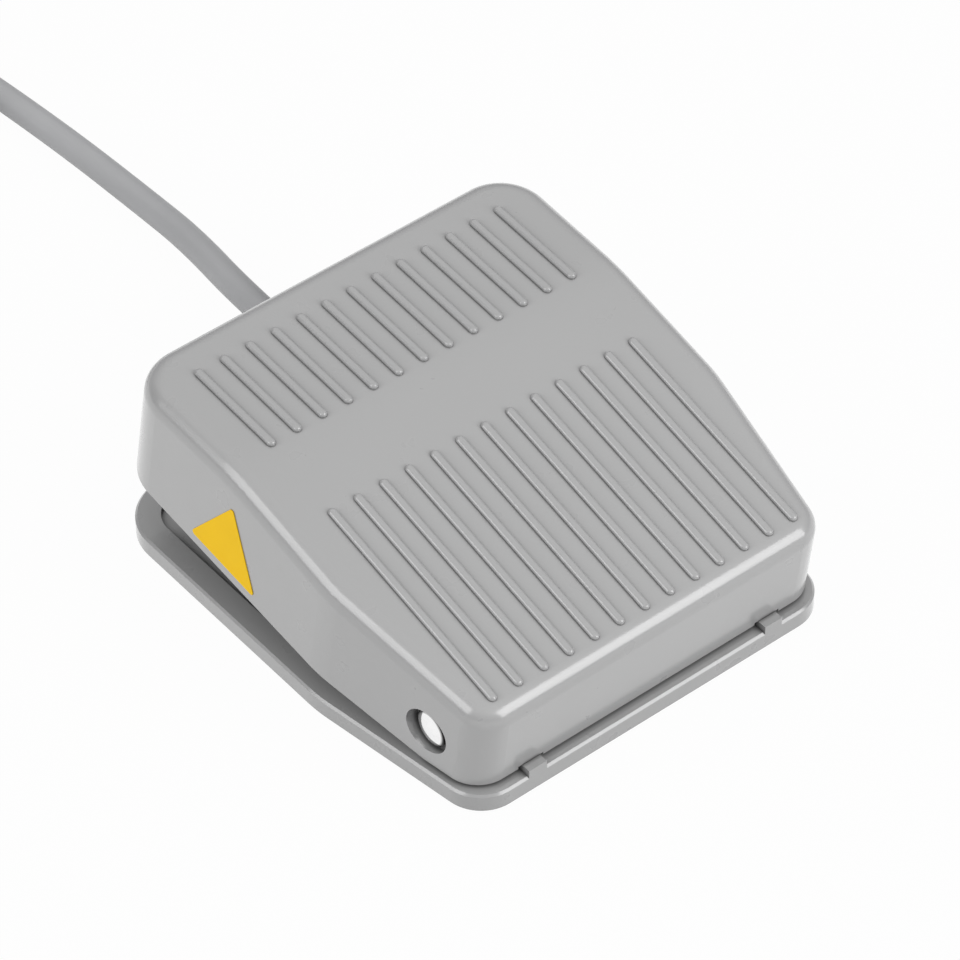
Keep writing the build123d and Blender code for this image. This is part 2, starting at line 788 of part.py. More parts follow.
# Screws and nuts that hold the switch to its wall
screw_length = switch_thickness + bracket_thickness + nut_thickness + screw_past_nut
with BuildPart() as switch_screws:
    with BuildSketch(Plane.YZ.offset(switch_side)):
        with Locations(*switch_holes):
            Circle(screw_head_radius)
    extrude(amount=screw_head_height)
    chamfer(switch_screws.edges().group_by(Axis.X)[-1], length=screw_head_height / 3)
    with BuildSketch(Plane.YZ.offset(switch_side + screw_head_height)):
        with Locations(*switch_holes):
            Rectangle(2 * screw_head_radius, screw_slot_width)
    extrude(amount=-screw_slot_depth, mode=Mode.SUBTRACT)
    with BuildSketch(Plane.YZ.offset(switch_side)):
        with Locations(*switch_holes):
            Circle(screw_radius)
    extrude(amount=-screw_length)
switch_screws.part.label = "switch_screws"

with BuildPart() as switch_nuts:
    with BuildSketch(Plane.YZ.offset(-switch_side - bracket_thickness)):
        with Locations(*switch_holes):
            RegularPolygon(nut_across_flats / 2, 6, major_radius=False)
            Circle(screw_hole_radius, mode=Mode.SUBTRACT)
    extrude(amount=-nut_thickness)
switch_nuts.part.label = "switch_nuts"

# Cord clamp: a bent strap with two screws
strap_top = clamp_block_top + clamp_strap_thickness
with BuildPart() as cord_clamp:
    with BuildSketch(Plane.XZ.offset(-clamp_y)):
        with Locations((outlet_x, clamp_block_top)):
            Rectangle(2 * clamp_half_width, clamp_strap_thickness, align=(Align.CENTER, Align.MIN))
        with Locations((outlet_x, outlet_height)):
            Circle(cord_radius + cord_play + clamp_strap_thickness)
            Circle(cord_radius + cord_play, mode=Mode.SUBTRACT)
        with Locations((outlet_x, clamp_block_top)):
            Rectangle(
                4 * clamp_half_width,
                clamp_block_top,
                align=(Align.CENTER, Align.MAX),
                mode=Mode.SUBTRACT,
            )
    extrude(amount=clamp_strap_depth / 2, both=True)
    with BuildSketch(Plane((outlet_x, clamp_y, strap_top))):
        with GridLocations(clamp_screw_spacing, 0, 2, 1):
            Circle(screw_hole_radius)
    extrude(amount=-2 * clamp_strap_thickness, mode=Mode.SUBTRACT)
cord_clamp.part.label = "cord_clamp"

with BuildPart() as clamp_screws:
    with BuildSketch(Plane((outlet_x, clamp_y, strap_top))):
        with GridLocations(clamp_screw_spacing, 0, 2, 1):
            Circle(screw_head_radius)
    extrude(amount=screw_head_height)
    chamfer(clamp_screws.edges().group_by(Axis.Z)[-1], length=screw_head_height / 3)
    with BuildSketch(Plane((outlet_x, clamp_y, strap_top + screw_head_height))):
        with GridLocations(clamp_screw_spacing, 0, 2, 1):
            Rectangle(2 * screw_head_radius, screw_slot_width)
    extrude(amount=-screw_slot_depth, mode=Mode.SUBTRACT)
    with BuildSketch(Plane((outlet_x, clamp_y, strap_top))):
        with GridLocations(clamp_screw_spacing, 0, 2, 1):
            Circle(screw_radius)
    extrude(amount=-clamp_screw_length)
clamp_screws.part.label = "clamp_screws"

# Strain relief: two flanges grip the outlet wall, and a tapered tail carries the cord
outlet_axis = Axis((outlet_x, 0, outlet_height), (0, 1, 0))
cord_bore = cord_radius + cord_play
wall_inside = outlet_wall_y - relief_neck_play
wall_outside = outlet_wall_y + outlet_wall + relief_neck_play
relief_end_y = wall_outside + relief_flange_thickness + relief_length
with BuildPart() as strain_relief:
    with BuildSketch(Plane(origin=(outlet_x, 0, outlet_height), x_dir=(0, 1, 0), z_dir=(1, 0, 0))):
        with BuildLine():
            Polyline(
                (wall_inside - relief_flange_thickness, cord_bore),
                (wall_inside - relief_flange_thickness, relief_flange_radius),
                (wall_inside, relief_flange_radius),
                (wall_inside, outlet_hole_radius - relief_neck_play),
                (wall_outside, outlet_hole_radius - relief_neck_play),
                (wall_outside, relief_flange_radius),
                (wall_outside + relief_flange_thickness, relief_flange_radius),
                (wall_outside + relief_flange_thickness, relief_root_radius),
                (relief_end_y, relief_tip_radius),
                (relief_end_y, cord_bore),
                close=True,
            )
        make_face()
    revolve(axis=outlet_axis)
strain_relief.part.label = "strain_relief"

# End of the jacket inside the housing
with BuildPart() as cord_inner:
    with BuildSketch(Plane.XZ.offset(-jacket_end_y)):
        with Locations((outlet_x, outlet_height)):
            Circle(cord_radius)
    extrude(amount=-(base_rear - jacket_end_y))
cord_inner.part.label = "cord_inner"


def bend_radii(points):
    """Radius at each inner point of a route: as large as its two runs allow."""
    radii = []
    for before, corner, after in zip(points, points[1:], points[2:]):
        run_in = Vector(*corner) - Vector(*before)
        run_out = Vector(*after) - Vector(*corner)
        half_turn = math.radians(run_in.get_angle(run_out)) / 2
        radii.append(0.45 * min(run_in.length, run_out.length) / math.tan(half_turn))
    return radii


def round_tube(points, radius):
    """A round tube along straight runs joined by tangent arcs."""
    radii = bend_radii(points)
    with BuildPart() as tube:
        with BuildLine() as route:
            FilletPolyline(*points, radius=radii)
        path = route.wire()
        with BuildSketch(Plane(origin=path @ 0, z_dir=path % 0)):
            Circle(radius)
        sweep(path=path)
    share = tube.part.volume / (math.pi * radius**2 * path.length)
    print("bend radii", [round(bend, 1) for bend in radii], "length", round(path.length, 1))
    print("volume over section times length", round(share, 4))
    return tube.part


# Free cord: out of the strain relief, down to the floor and back to the coil
cord_points = [
    (outlet_x, base_rear, outlet_height),
    (outlet_x, 78.5, outlet_height),
    (7.5, 110.0, cord_radius),
    (6.3, 146.0, cord_radius),
    (4.1, 167.0, cord_radius),
]
with BuildPart() as cord:
    add(round_tube(cord_points, cord_radius))
cord.part.label = "cord"

# Coil of the put-away length: turns side by side in two layers
coil_half = 2 * cord_radius
coil_height = 2 * cord_radius * coil_layers
coil_axis = Axis((coil_x, coil_y, 0), (0, 0, 1))
tie_plane = Plane((coil_x, coil_y, 0)).rotated((0, 0, tie_angle))


def coil_section(inset=0.0):
    """Cross-section of the coil, seen along its turns."""
    with BuildSketch() as section:
        with Locations((coil_turn_radius, coil_height / 2)):
            RectangleRounded(2 * (coil_half - inset), coil_height - 2 * inset, cord_radius - inset)
    return section.sketch


def tie_band(inset):
    """Band of the tie round the turns, with its outside drawn into them by an inset."""
    radial = Vector(tie_plane.x_dir)
    with BuildPart() as band:
        with BuildSketch(
            Plane(origin=(coil_x, coil_y, 0), x_dir=radial, z_dir=radial.cross(Vector(0, 0, 1)))
        ):
            add(coil_section(inset))
            add(coil_section(tie_sunk + tie_thickness), mode=Mode.SUBTRACT)
        extrude(amount=tie_width / 2, both=True)
    return band.part


with BuildPart() as cord_coil:
    with BuildSketch(Plane(origin=(coil_x, coil_y, 0), x_dir=(1, 0, 0), z_dir=(0, -1, 0))):
        add(coil_section())
    revolve(axis=coil_axis)
    add(tie_band(-tie_thickness), mode=Mode.SUBTRACT)
cord_coil.part.label = "cord_coil"

with BuildPart() as cord_tie:
    add(tie_band(tie_sunk))
    head_centre = tie_plane.from_local_coords((coil_turn_radius, 0, coil_height - tie_sunk))
    with BuildSketch(Plane(origin=head_centre, x_dir=tie_plane.x_dir)):
        Rectangle(tie_head, tie_width)
    extrude(amount=tie_head / 2)
cord_tie.part.label = "cord_tie"


def arc_on_coil(turn_radius, height, radius, start, sweep_angle):
    """A round piece of wire that lies on the coil and follows its turns."""
    start_plane = Plane((coil_x, coil_y, 0)).rotated((0, 0, start))
    with BuildPart() as piece:
        with BuildSketch(
            Plane(
                origin=start_plane.from_local_coords((turn_radius, 0, height)),
                x_dir=start_plane.x_dir,
                z_dir=start_plane.y_dir,
            )
        ):
            Circle(radius)
        revolve(axis=coil_axis, revolution_arc=sweep_angle)
    return piece.part


# Last stretch of the jacket and its three stripped leads, lying on the coil
with BuildPart() as cord_end:
    add(
        arc_on_coil(
            coil_turn_radius,
            coil_height + cord_radius + coil_play,
            cord_radius,
            end_start_angle,
            end_sweep,
        )
    )
cord_end.part.label = "cord_end"

with BuildPart() as cord_leads:
    for place in (-1, 0, 1):
        add(
            arc_on_coil(
                coil_turn_radius + place * stripped_lead_pitch,
                coil_height + stripped_lead_radius + coil_play,
                stripped_lead_radius,
                end_start_angle + end_sweep,
                stripped_sweep,
            )
        )
cord_leads.part.label = "cord_leads"

# Inner leads, from the end of the jacket round the spring to the three terminals
lead_high = outlet_height + lead_pitch_radius * math.sin(math.radians(30))
lead_aside = lead_pitch_radius * math.cos(math.radians(30))
lead_low = outlet_height - lead_pitch_radius
common_lead_z = common_strip_top + lead_radius + slot_play
nc_lead_z = nc_strip_bottom + terminal_thickness + lead_radius + slot_play
no_lead_z = switch_bottom - terminal_lug / 2
lead_start_y = jacket_end_y - lead_splay_gap
common_lead_points = [
    (outlet_x - lead_aside, lead_start_y, lead_high),
    (-1.4, jacket_end_y - 4.9, 10.0),
    (-8.6, spring_y + 5.5, 11.0),
    (-9.3, spring_y - 3.0, 13.0),
    (-6.5, switch_rear_y + 8.7, common_lead_z),
    (-0.6, switch_rear_y + 5.2, common_lead_z),
    (0.2, switch_rear_y + terminal_lap, common_lead_z),
]
no_lead_points = [
    (outlet_x, lead_start_y, lead_low),
    (6.3, jacket_end_y - 4.3, 6.8),
    (11.0, spring_y + 6.0, 5.2),
    (12.5, spring_y - 2.0, 4.2),
    (11.5, switch_rear_y + 4.2, 4.0),
    (12.0, no_lug_y + 8.8, 3.95),
    (9.5, no_lug_y + 2.8, 3.9),
    (terminal_width / 2 + lead_joint_gap, no_lug_y + terminal_thickness / 2, no_lead_z),
]
nc_lead_points = [
    (outlet_x + lead_aside, lead_start_y, lead_high),
    (8.2, jacket_end_y - 4.5, 10.2),
    (12.5, spring_y + 3.0, 11.5),
    (13.5, spring_y - 9.0, 13.4),
    (13.0, switch_rear_y - 3.8, 15.6),
    (13.2, switch_front_y + 11.0, 17.4),
    (9.0, switch_front_y, nc_lead_z),
    (1.0 - terminal_width / 2, switch_front_y - 3.0, nc_lead_z),
]
with BuildPart() as lead_common:
    add(round_tube(common_lead_points, lead_radius))
lead_common.part.label = "lead_common"
with BuildPart() as lead_no:
    add(round_tube(no_lead_points, lead_radius))
lead_no.part.label = "lead_no"
with BuildPart() as lead_nc:
    add(round_tube(nc_lead_points, lead_radius))
lead_nc.part.label = "lead_nc"

pieces = [
    base_plate,
    rubber_feet,
    pedal_cover,
    pivot_pin,
    pin_clips,
    return_spring,
    switch_case,
    switch_cover,
    push_button,
    switch_lever,
    lever_pin,
    contact_blade,
    nc_terminal,
    no_terminal,
    common_terminal,
    switch_screws,
    switch_nuts,
    cord_clamp,
    clamp_screws,
    strain_relief,
    cord_inner,
    lead_common,
    lead_no,
    lead_nc,
    cord,
    cord_coil,
    cord_tie,
    cord_end,
    cord_leads,
]
for piece in pieces:
    export_step(piece.part, f"parts/{piece.part.label}.step")
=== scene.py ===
import math

import bmesh
import bpy
from mathutils import Matrix, Vector
from mathutils.bvhtree import BVHTree


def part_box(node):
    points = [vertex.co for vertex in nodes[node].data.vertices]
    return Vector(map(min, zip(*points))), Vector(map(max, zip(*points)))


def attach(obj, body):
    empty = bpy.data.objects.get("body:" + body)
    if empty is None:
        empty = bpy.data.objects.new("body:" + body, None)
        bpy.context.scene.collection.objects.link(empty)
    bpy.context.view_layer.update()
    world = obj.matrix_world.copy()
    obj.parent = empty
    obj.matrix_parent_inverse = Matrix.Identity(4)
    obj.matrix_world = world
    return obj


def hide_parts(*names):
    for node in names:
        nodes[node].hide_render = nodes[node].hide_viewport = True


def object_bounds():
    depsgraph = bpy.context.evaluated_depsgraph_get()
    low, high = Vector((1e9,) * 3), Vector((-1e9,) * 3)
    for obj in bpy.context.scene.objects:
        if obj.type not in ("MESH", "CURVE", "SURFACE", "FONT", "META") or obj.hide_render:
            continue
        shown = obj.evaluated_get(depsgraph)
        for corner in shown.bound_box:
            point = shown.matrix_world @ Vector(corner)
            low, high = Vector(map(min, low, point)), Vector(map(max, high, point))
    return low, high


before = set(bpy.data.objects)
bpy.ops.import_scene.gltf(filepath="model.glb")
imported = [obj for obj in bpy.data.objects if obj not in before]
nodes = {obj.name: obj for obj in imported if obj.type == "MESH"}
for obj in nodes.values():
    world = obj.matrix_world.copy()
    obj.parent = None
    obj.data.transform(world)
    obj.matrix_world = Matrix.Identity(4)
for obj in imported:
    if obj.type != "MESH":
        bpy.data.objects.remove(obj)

# Lengths are in metres, and angles in degrees
cad_box = [list(corner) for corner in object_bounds()]

# Camera, fitted to the outline of the base and the pedal in the photograph
photo_width = 960
focal_pixels = 5194.0
camera_place = Vector((-0.39874, -0.48782, 0.64288))
camera_right = Vector((0.774494, -0.632581, 0.000835))
camera_up = Vector((0.444547, 0.545215, 0.710717))
camera_ahead = Vector((0.450041, 0.550075, -0.703477))


def make_camera():
    """The camera of the photograph, which looks down from the front left."""
    data = bpy.data.cameras.new("camera")
    data.sensor_width = 36.0
    data.lens = focal_pixels * data.sensor_width / photo_width
    data.clip_start = 0.01
    data.clip_end = 20.0
    camera = bpy.data.objects.new("camera", data)
    bpy.context.scene.collection.objects.link(camera)
    turn = Matrix((camera_right, camera_up, -camera_ahead)).transposed()
    camera.matrix_world = Matrix.Translation(camera_place) @ turn.to_4x4()
    bpy.context.scene.camera = camera


make_camera()


# Materials
# Noise is spread between the two values within which most of it lies
noise_low = 0.25
noise_high = 0.75
# Openness of a spot, from closed in to free, between which painted shade darkens a hollow's colour
hollow_closed = 0.35
hollow_free = 0.85
hollow_samples = 24
# The pin's end keeps its steel colour out to this radius, and painted shade and reflection turn it dark
# over this width
pin_painted_rim_radius = 0.0029
pin_painted_rim_width = 0.0004


class Look:
    """A node material with a Principled shader, and short calls for its procedural detail."""

    def __init__(self, name, colour, roughness, metallic=0.0, **sockets):
        self.material = bpy.data.materials.new(name)
        self.material.use_nodes = True
        self.tree = self.material.node_tree
        self.shader = self.tree.nodes["Principled BSDF"]
        self.colour = (*colour, 1.0)
        self.shader.inputs["Base Color"].default_value = self.colour
        self.shader.inputs["Roughness"].default_value = roughness
        self.shader.inputs["Metallic"].default_value = metallic
        for socket, value in sockets.items():
            self.shader.inputs[socket.replace("_", " ")].default_value = value
        self.place = self.tree.nodes.new("ShaderNodeTexCoord").outputs["Object"]

    def join(self, output, socket):
        """Links one node's output to another's input."""
        self.tree.links.new(output, socket)

    def mix(self, factor, first, second, blend="MIX"):
        """Sets the base colour to a mix of two, each a colour or another node's output."""
        node = self.tree.nodes.new("ShaderNodeMix")
        node.data_type = "RGBA"
        node.blend_type = blend
        for name, value in (("Factor", factor), ("A", first), ("B", second)):
            if isinstance(value, bpy.types.NodeSocket):
                self.join(value, node.inputs[name])
            else:
                node.inputs[name].default_value = value
        self.join(node.outputs["Result"], self.shader.inputs["Base Color"])

    def base_colour(self):
        """What the base colour is joined to so far."""
        return self.shader.inputs["Base Color"].links[0].from_socket

    def noise(self, scale, detail=3.0, stretch=None):
        """Noise over the object's own coordinates, stretched along an axis if asked."""
        place = self.place
        if stretch:
            mapping = self.tree.nodes.new("ShaderNodeMapping")
            mapping.inputs["Scale"].default_value = stretch
            self.join(place, mapping.inputs["Vector"])
            place = mapping.outputs["Vector"]
        texture = self.tree.nodes.new("ShaderNodeTexNoise")
        texture.inputs["Scale"].default_value = scale
        texture.inputs["Detail"].default_value = detail
        self.join(place, texture.inputs["Vector"])
        return texture.outputs["Fac"]

    def spread(self, source, low, high):
        """A noise, whose middle half is spread from a low to a high value."""
        ranged = self.tree.nodes.new("ShaderNodeMapRange")
        ranged.inputs["From Min"].default_value = noise_low
        ranged.inputs["From Max"].default_value = noise_high
        ranged.inputs["To Min"].default_value = low
        ranged.inputs["To Max"].default_value = high
        self.join(source, ranged.inputs["Value"])
        return ranged.outputs["Result"]

    def vary_roughness(self, source, low, high):
        """Roughness that drifts between two values."""
        self.join(self.spread(source, low, high), self.shader.inputs["Roughness"])

    def vary_colour(self, source, darker, lighter):
        """Colour that drifts between a darker and a lighter share of its own tone."""
        low = (*[c * darker for c in self.colour[:3]], 1.0)
        high = (*[min(1.0, c * lighter) for c in self.colour[:3]], 1.0)
        self.mix(self.spread(source, 0.0, 1.0), low, high)

    def paint_shade_in_hollows(self, reach, darkest):
        """Paints shade into the colour: darkens it in grooves and recesses narrower than a reach, where
        shade falls.
        """
        hollow = self.tree.nodes.new("ShaderNodeAmbientOcclusion")
        hollow.samples = hollow_samples
        hollow.inputs["Distance"].default_value = reach
        ranged = self.tree.nodes.new("ShaderNodeMapRange")
        ranged.inputs["From Min"].default_value = hollow_closed
        ranged.inputs["From Max"].default_value = hollow_free
        ranged.inputs["To Min"].default_value = darkest
        self.join(hollow.outputs["AO"], ranged.inputs["Value"])
        self.mix(1.0, self.base_colour(), ranged.outputs["Result"], "MULTIPLY")

    def paint_dark_rim(self, radius, width, centre, tone):
        """Paints a dark ring of shade into the colour outside a radius about an axis along X, over a
        narrow width.
        """
        offset = self.tree.nodes.new("ShaderNodeVectorMath")
        offset.operation = "SUBTRACT"
        offset.inputs[1].default_value = centre
        self.join(self.place, offset.inputs[0])
        flat = self.tree.nodes.new("ShaderNodeVectorMath")
        flat.operation = "MULTIPLY"
        flat.inputs[1].default_value = (0.0, 1.0, 1.0)
        self.join(offset.outputs["Vector"], flat.inputs[0])
        length = self.tree.nodes.new("ShaderNodeVectorMath")
        length.operation = "LENGTH"
        self.join(flat.outputs["Vector"], length.inputs[0])
        ranged = self.tree.nodes.new("ShaderNodeMapRange")
        ranged.inputs["From Min"].default_value = radius
        ranged.inputs["From Max"].default_value = radius + width
        self.join(length.outputs["Value"], ranged.inputs["Value"])
        self.mix(ranged.outputs["Result"], self.base_colour(), (tone, tone, tone, 1.0))

    def bump(self, source, height, under=None):
        """Relief of a height in metres, on top of an earlier one if given."""
        node = self.tree.nodes.new("ShaderNodeBump")
        node.inputs["Distance"].default_value = height
        self.join(source, node.inputs["Height"])
        if under is not None:
            self.join(under, node.inputs["Normal"])
        self.join(node.outputs["Normal"], self.shader.inputs["Normal"])
        return node.outputs["Normal"]


def enamel(name, tone):
    """Light grey stoved enamel over a die casting: smooth, with a faint orange peel."""
    look = Look(name, (tone, tone, tone), roughness=0.3, Coat_Weight=1.0, Coat_Roughness=0.16)
    look.vary_colour(look.noise(scale=18.0, detail=4.0), darker=0.975, lighter=1.02)
    look.vary_roughness(look.noise(scale=160.0), low=0.26, high=0.34)
    # Painted shade: darkens the enamel in the grooves beside the ribs, in the recess round the pin and in
    # the narrow gaps between cover and base
    look.paint_shade_in_hollows(reach=0.0012, darkest=0.15)
    peel = look.bump(look.noise(scale=700.0, detail=2.0), height=0.000012)
    look.bump(look.noise(scale=2600.0, detail=1.0), height=0.000003, under=peel)
    return look.material


def bright_steel(name, tone, roughness, stretch=None):
    """Turned or drawn steel with fine tool marks."""
    look = Look(name, (tone, tone, tone * 0.985), roughness, metallic=1.0)
    marks = look.noise(scale=900.0, stretch=stretch)
    look.vary_roughness(marks, low=roughness * 0.75, high=roughness * 1.5)
    look.vary_colour(look.noise(scale=240.0), darker=0.93, lighter=1.04)
    look.bump(marks, height=0.000002)
    return look.material


def pin_steel():
    """Polished pin end, with its rim painted dark as the shade and dark reflection of the recess round it.
    """
    low, high = (Vector(corner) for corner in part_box("pivot_pin"))
    look = Look("pin_steel", (0.9, 0.9, 0.9), roughness=0.12, metallic=1.0)
    look.vary_colour(look.noise(scale=500.0), darker=0.94, lighter=1.04)
    # Painted shade and reflection: a near-black ring at the rim of the pin's end
    look.paint_dark_rim(pin_painted_rim_radius, pin_painted_rim_width, centre=(low + high) / 2, tone=0.03)
    look.bump(look.noise(scale=2000.0, detail=2.0), height=0.000002)
    return look.material


def rubber(name, colour, roughness):
    """Moulded rubber or soft cord jacket with a fine matt grain."""
    look = Look(name, colour, roughness)
    look.vary_colour(look.noise(scale=60.0, detail=4.0), darker=0.94, lighter=1.05)
    look.vary_roughness(look.noise(scale=400.0), low=roughness * 0.88, high=roughness * 1.12)
    look.bump(look.noise(scale=1500.0, detail=2.0), height=0.00001)
    return look.material


def moulding(name, colour, roughness):
    """Hard moulded plastic."""
    look = Look(name, colour, roughness)
    look.vary_colour(look.noise(scale=90.0), darker=0.92, lighter=1.08)
    look.vary_roughness(look.noise(scale=500.0), low=roughness * 0.85, high=roughness * 1.2)
    look.bump(look.noise(scale=1200.0, detail=2.0), height=0.000006)
    return look.material


def brass():
    """Rolled contact brass, a little dulled."""
    look = Look("contact_brass", (0.68, 0.48, 0.2), roughness=0.32, metallic=1.0)
    look.vary_colour(look.noise(scale=300.0, detail=4.0), darker=0.8, lighter=1.05)
    look.vary_roughness(look.noise(scale=700.0), low=0.25, high=0.45)
    return look.material


def sticker_vinyl():
    """Plain yellow vinyl."""
    look = Look("yellow_vinyl", (0.98, 0.6, 0.004), roughness=0.5, Specular_IOR_Level=0.15)
    look.vary_colour(look.noise(scale=120.0), darker=0.97, lighter=1.02)
    look.bump(look.noise(scale=900.0, detail=2.0), height=0.000004)
    return look.material


def dress(names, material):
    """Gives CAD nodes a material in place of what they came with."""
    for name in names:
        mesh = nodes[name].data
        mesh.materials.clear()
        mesh.materials.append(material)


dress(["pedal_cover"], enamel("cover_enamel", tone=0.342))
dress(["base_plate"], enamel("base_enamel", tone=0.315))
dress(["pivot_pin"], pin_steel())
dress(["pin_clips", "return_spring"], bright_steel("spring_steel", tone=0.5, roughness=0.3))
plated_sheet = bright_steel("plated_sheet", tone=0.72, roughness=0.28, stretch=(1, 0.1, 1))
dress(["switch_lever", "lever_pin", "cord_clamp"], plated_sheet)
plated_screws = bright_steel("plated_screws", tone=0.68, roughness=0.3)
dress(["switch_screws", "switch_nuts", "clamp_screws"], plated_screws)
dress(["rubber_feet"], rubber("black_rubber", (0.025, 0.025, 0.026), roughness=0.6))
cord_jacket = rubber("grey_jacket", (0.365, 0.367, 0.374), roughness=0.45)
dress(["cord_inner", "strain_relief"], cord_jacket)
dress(["switch_case"], moulding("black_phenolic", (0.018, 0.018, 0.02), roughness=0.45))
dress(["switch_cover"], moulding("grey_phenolic", (0.05, 0.05, 0.055), roughness=0.4))
dress(["push_button"], moulding("red_button", (0.5, 0.02, 0.015), roughness=0.3))
dress(["contact_blade", "nc_terminal", "no_terminal", "common_terminal"], brass())
dress(["lead_common", "cord_leads"], moulding("black_insulation", (0.02, 0.02, 0.02), roughness=0.35))
dress(["lead_no"], moulding("blue_insulation", (0.02, 0.06, 0.28), roughness=0.35))
dress(["lead_nc"], moulding("brown_insulation", (0.14, 0.05, 0.02), roughness=0.35))
dress(["cord_tie"], moulding("white_tie", (0.75, 0.75, 0.72), roughness=0.4))

# Cord: the listed points of its route, then the turns of the put-away coil
cord_diameter = 0.0055
cord_radius = cord_diameter / 2
cord_exit = (0.0035, 0.0475, 0.009)
cord_route = [
    cord_exit,
    (0.0036, 0.070, 0.009),
    (0.0076, 0.092, 0.0055),
    (0.0089, 0.108, cord_radius),
    (0.008, 0.128, cord_radius),
    (0.0063, 0.148, cord_radius),
    (0.0041, 0.167, cord_radius),
]
coil_centre = Vector((-0.030, 0.178, 0.0))
coil_turn_radius = 0.030
# The last turn lies this far above the turns under it
coil_play = 0.0003
# Steps in a turn, the angle at which the first turn starts, and the last step before the end
coil_steps = 16
coil_start = -2.0
coil_last_step = 65
# The end of the jacket runs on over this angle, in this many points
end_sweep = 70.0
end_points = 3
# Steps at which the turns leave one place in the coil for the next, and where each then lies:
# how far out from the middle radius in cord radii, and its height in cord radii
coil_moves = [
    (0.0, 1.0, 1.0),
    (14.5, -1.0, 1.0),
    (30.5, -1.0, 3.0),
    (46.5, 1.0, 3.0),
    (62.0, 0.0, 5.0 + coil_play / cord_radius),
]
coil_move_steps = 3


def coil_point(step):
    """Place on the coil after a number of steps round it."""
    aside, height = coil_moves[0][1:]
    for start, next_aside, next_height in coil_moves[1:]:
        share = max(0.0, min(1.0, (step - start) / coil_move_steps))
        share = share * share * (3 - 2 * share)
        aside += (next_aside - aside) * share
        height += (next_height - height) * share
    radius = coil_turn_radius + aside * cord_radius
    angle = math.radians(coil_start) + 2 * math.pi * step / coil_steps
    return coil_centre + Vector((radius * math.cos(angle), radius * math.sin(angle), height * cord_radius))


def make_cord():
    """The free cord as one curve, from the strain relief to the end of its jacket."""
    end_steps = end_sweep / 360 * coil_steps
    coil = [coil_point(step) for step in range(coil_last_step + 1)]
    coil += [
        coil_point(coil_last_step + end_steps * count / end_points)
        for count in range(1, end_points + 1)
    ]
    points = [Vector(point) for point in cord_route] + coil
    curve = bpy.data.curves.new("grey_cord", "CURVE")
    curve.dimensions = "3D"
    spline = curve.splines.new("NURBS")
    spline.points.add(len(points) - 1)
    for place, point in zip(spline.points, points):
        place.co = (*point, 1.0)
    spline.order_u = 3
    spline.use_endpoint_u = True
    spline.resolution_u = 8
    curve.bevel_depth = cord_radius
    curve.bevel_resolution = 5
    curve.use_fill_caps = True
    curve.materials.append(cord_jacket)
    cord = bpy.data.objects.new("grey_cord", curve)
    bpy.context.scene.collection.objects.link(cord)
    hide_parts("cord", "cord_coil", "cord_end")
    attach(cord, "base")
    return cord


cord = make_cord()

# Sticker: corners on the pedal's left wall, as (y, z)
sticker_corners = [(0.0246, 0.0153), (0.0126, 0.0296), (0.0071, 0.0128)]
sticker_thickness = 0.00012
sticker_lift = 0.00003
sticker_corner_radius = 0.0006
# The sticker's mesh has rings of points, each found by a ray from outside the part
sticker_rings = 8
ray_margin = 0.01


def rounded_triangle(corners, radius, steps=5):
    """Outline of a triangle with round corners, as points in the plane."""
    points = []
    count = len(corners)
    for index, corner in enumerate(corners):
        corner = Vector(corner)
        before = (Vector(corners[index - 1]) - corner).normalized()
        after = (Vector(corners[(index + 1) % count]) - corner).normalized()
        half = before.angle(after) / 2
        reach = radius / math.tan(half)
        middle = corner + (before + after).normalized() * (radius / math.sin(half))
        first = corner + before * reach - middle
        last = corner + after * reach - middle
        turn = math.atan2(first.x * last.y - first.y * last.x, first.dot(last))
        for step in range(steps + 1):
            angle = turn * step / steps
            spun = Vector(
                (
                    first.x * math.cos(angle) - first.y * math.sin(angle),
                    first.x * math.sin(angle) + first.y * math.cos(angle),
                )
            )
            points.append(middle + spun)
    return points


def make_sticker():
    """A plain triangle of vinyl laid on the pedal's left wall."""
    wall = nodes["pedal_cover"].data
    tree = BVHTree.FromPolygons([v.co for v in wall.vertices], [p.vertices for p in wall.polygons])
    outline = rounded_triangle(sticker_corners, sticker_corner_radius)
    middle = sum((Vector(corner) for corner in sticker_corners), Vector((0.0, 0.0))) / 3
    outside = cad_box[0][0] - ray_margin

    def on_wall(point, lift):
        """The place on the wall beside a point, raised off the wall by a lift."""
        place, normal, _, _ = tree.ray_cast(Vector((outside, point.x, point.y)), Vector((1, 0, 0)))
        if normal.x > 0:
            normal = -normal
        return place + normal * lift

    mesh = bmesh.new()
    levels = []
    for lift in (sticker_lift + sticker_thickness, sticker_lift):
        rings = []
        for ring in range(1, sticker_rings + 1):
            share = ring / sticker_rings
            rings.append([mesh.verts.new(on_wall(middle + (p - middle) * share, lift)) for p in outline])
        centre = mesh.verts.new(on_wall(middle, lift))
        levels.append((centre, rings))
    count = len(outline)
    for centre, rings in levels:
        for i in range(count):
            mesh.faces.new((centre, rings[0][i], rings[0][(i + 1) % count]))
            for inner, outer in zip(rings, rings[1:]):
                mesh.faces.new((inner[i], outer[i], outer[(i + 1) % count], inner[(i + 1) % count]))
    top, bottom = levels[0][1][-1], levels[1][1][-1]
    for i in range(count):
        mesh.faces.new((top[i], bottom[i], bottom[(i + 1) % count], top[(i + 1) % count]))
    bmesh.ops.recalc_face_normals(mesh, faces=mesh.faces)
    data = bpy.data.meshes.new("yellow_sticker")
    mesh.to_mesh(data)
    mesh.free()
    data.materials.append(sticker_vinyl())
    sticker = bpy.data.objects.new("yellow_sticker", data)
    bpy.context.scene.collection.objects.link(sticker)
    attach(sticker, "pedal")


make_sticker()

# Floor, sky and lamps
floor_reach = 3.0
floor_cells = 8
floor_tone = 0.5
floor_roughness = 0.9
floor_glow = 0.97
sky_strength = 1.04
# The sky is dark below one height and light above the other
sky_dark_height = 0.3
sky_dark = (0.3, 0.3, 0.31, 1.0)
sky_light_height = 0.75
sky_light = (0.8, 0.8, 0.8, 1.0)
